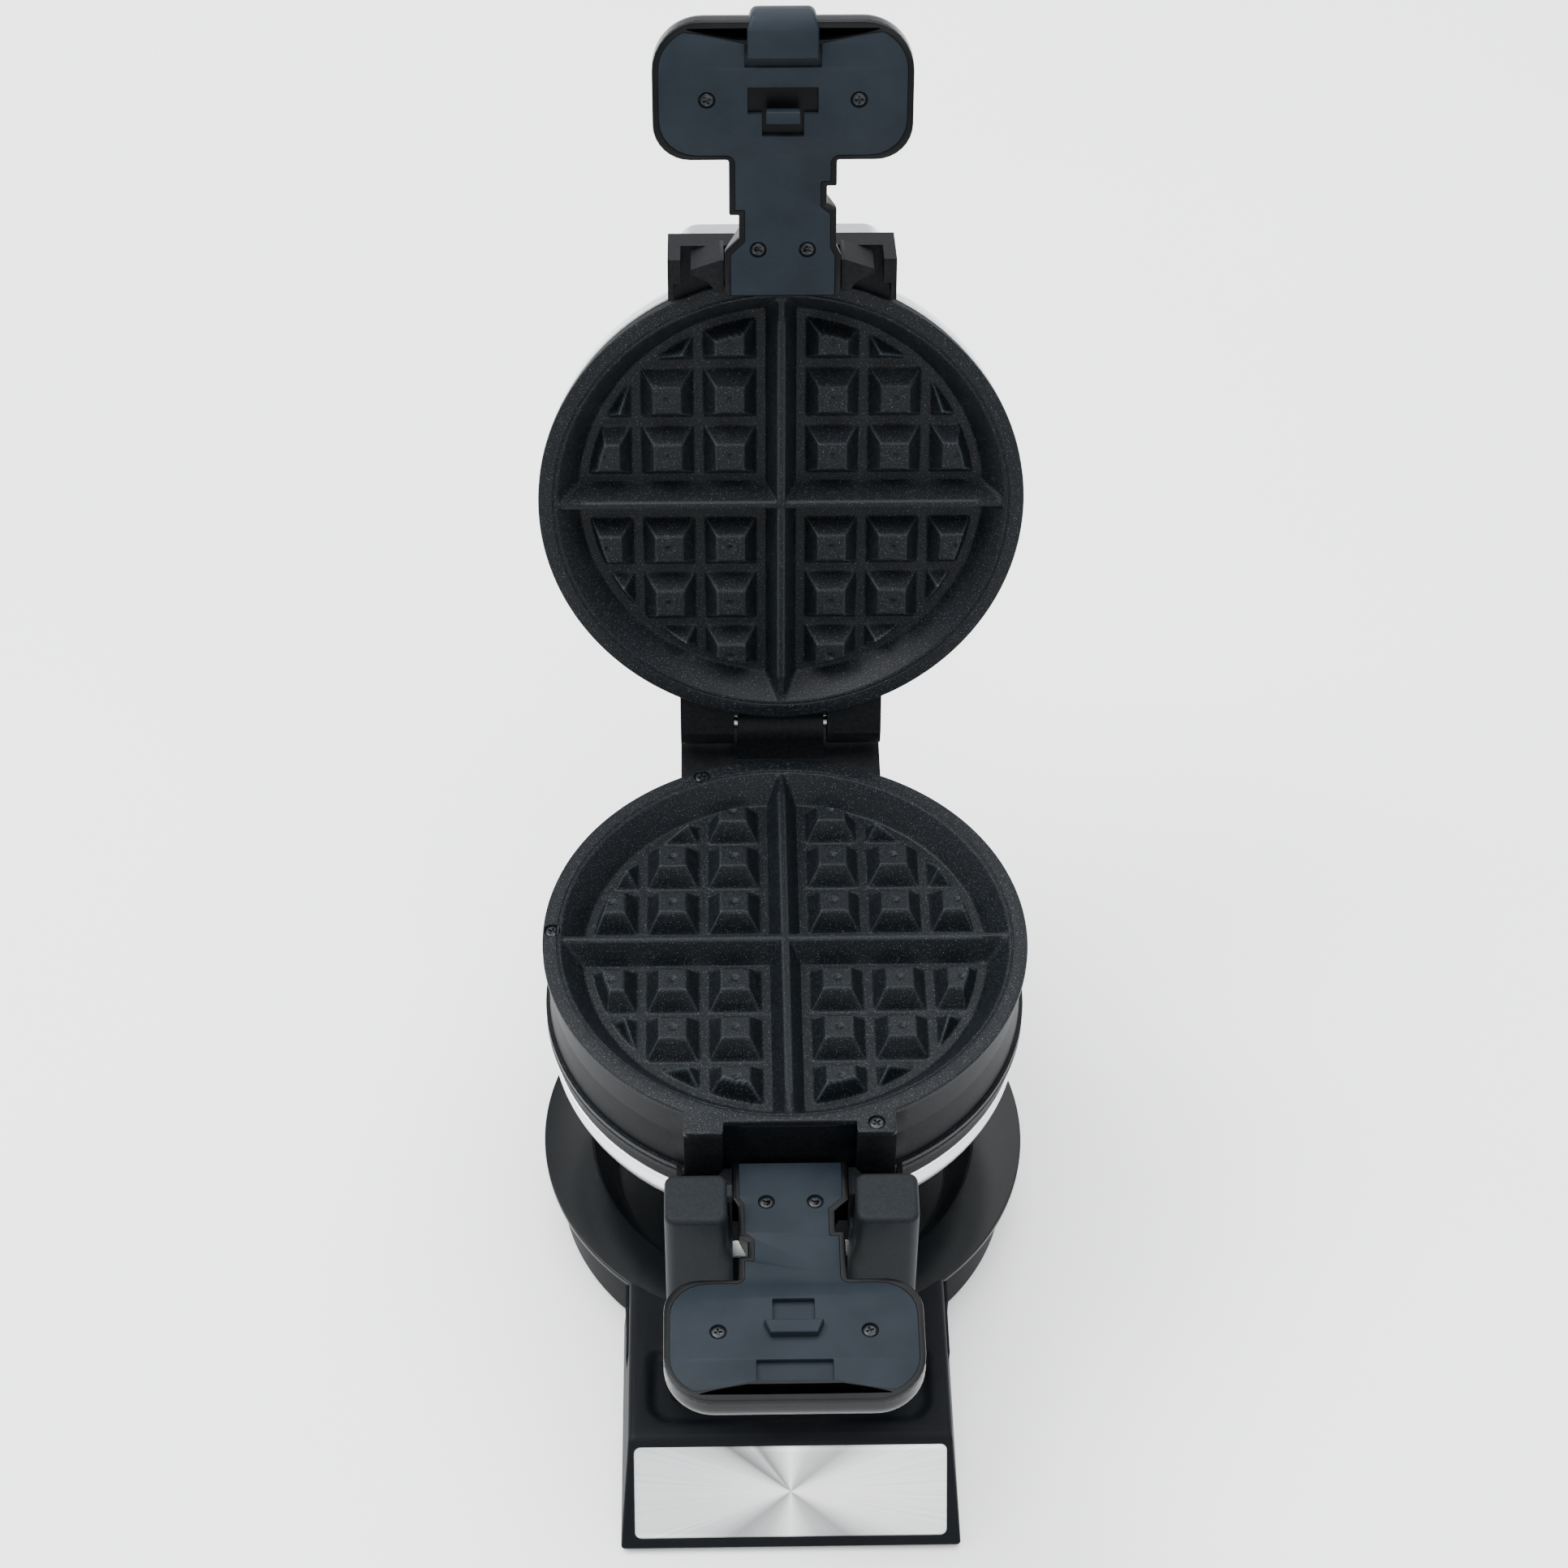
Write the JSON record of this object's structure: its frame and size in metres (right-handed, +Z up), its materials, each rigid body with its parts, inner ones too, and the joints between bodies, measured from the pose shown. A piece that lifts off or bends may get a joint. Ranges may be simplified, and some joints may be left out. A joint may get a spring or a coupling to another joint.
{
  "type": "waffle maker",
  "caption": "Rotating double waffle maker with a two-sided middle section, an open upper lid, a latched lower lid, yoke posts, a rear column and a lift-out drip tray.",
  "frame": {"origin": "centre of the overall footprint on the table", "axes": "+X to the right seen from the front, +Y to the rear, +Z up"},
  "size_m": [0.205, 0.3932, 0.4943],
  "materials": {
    "steel_cover": "satin brushed stainless sheet",
    "aluminium_sheet": "plain rolled sheet",
    "black_screw": "black oxide",
    "handle_gloss": "glossy black moulding",
    "handle_navy": "satin navy-black moulding",
    "nonstick": "dark non-stick coating on cast aluminium",
    "element_sheath": "heat-tinted sheath",
    "ceramic_body": "off-white ceramic-like body",
    "lamp_lens": "translucent lens",
    "housing_black": "satin black heat-resistant moulding",
    "base_black": "satin black moulding",
    "yoke_black": "satin slate-black moulding",
    "tray_slate": "glossy dark slate moulding",
    "spun_steel": "spun-brushed stainless sheet",
    "foot_rubber": "soft rubber",
    "gland_rubber": "flexible strain relief",
    "plain_steel": "plain bright steel",
    "bush_plastic": "acetal bush"
  },
  "bodies": {
    "base": {"base_shell": "base_black", "base_bottom_plate": "base_black", "base_feet": "foot_rubber", "front_panel": "spun_steel", "front_yoke": "yoke_black", "base_screws": "plain_steel", "rear_column": "base_black", "column_cover": "base_black", "column_bush": "bush_plastic", "cord_gland": "gland_rubber"},
    "tray": {"drip_tray": "tray_slate"},
    "rotor": {"rotor_shaft": "plain_steel", "shaft_ring": "plain_steel", "middle_shell_upper": "housing_black", "middle_shell_lower": "housing_black", "middle_plate_upper": "nonstick", "middle_plate_lower": "nonstick", "middle_elements": "element_sheath", "middle_plate_screws": "black_screw", "hinge_pin_upper": "plain_steel", "hinge_pin_lower": "plain_steel", "thermal_fuse": "ceramic_body"},
    "upper_lid": {"upper_ring": "housing_black", "upper_plate": "nonstick", "upper_element": "element_sheath", "upper_reflector": "aluminium_sheet", "upper_thermostat": "ceramic_body", "upper_cover": "steel_cover", "upper_handle_shell": "handle_gloss", "upper_handle_plate": "handle_navy", "upper_handle_screws": "black_screw", "upper_hinge_plate": "housing_black", "upper_hinge_screws": "black_screw", "upper_lights": "lamp_lens", "latch_spring": "plain_steel"},
    "latch": {"latch_button": "handle_navy"},
    "lower_lid": {"lower_ring": "housing_black", "lower_plate": "nonstick", "lower_element": "element_sheath", "lower_reflector": "aluminium_sheet", "lower_thermostat": "ceramic_body", "lower_cover": "steel_cover", "lower_handle_shell": "handle_gloss", "lower_handle_plate": "handle_navy", "lower_handle_screws": "black_screw", "lower_hinge_plate": "housing_black", "lower_hinge_screws": "black_screw", "lower_lights": "lamp_lens"}
  },
  "joints": [
    {"name": "stack_turn", "type": "hinge", "parent": "base", "child": "rotor", "pos_m": [0, 0.01085, 0.146], "axis": [0, -1, 0], "range_deg": [0, 90]},
    {"name": "upper_lid_hinge", "type": "hinge", "parent": "rotor", "child": "upper_lid", "pos_m": [0, 0.11855, 0.1787], "axis": [-1, 0, 0], "range_deg": [-106, 0]},
    {"name": "lower_lid_hinge", "type": "hinge", "parent": "rotor", "child": "lower_lid", "pos_m": [0, 0.11855, 0.1133], "axis": [-1, 0, 0], "range_deg": [-8, 0]},
    {"name": "latch_press", "type": "slide", "parent": "upper_lid", "child": "latch", "axis": [0, -0.2756, -0.9613], "range_m": [0, 0.003], "stiffness_N_per_m": 500, "springref_m": -0.002, "deforming": ["latch_spring"]},
    {"name": "tray_lift", "type": "slide", "parent": "base", "child": "tray", "axis": [0, 0, -1], "range_m": [-0.015, 0]}
  ]
}
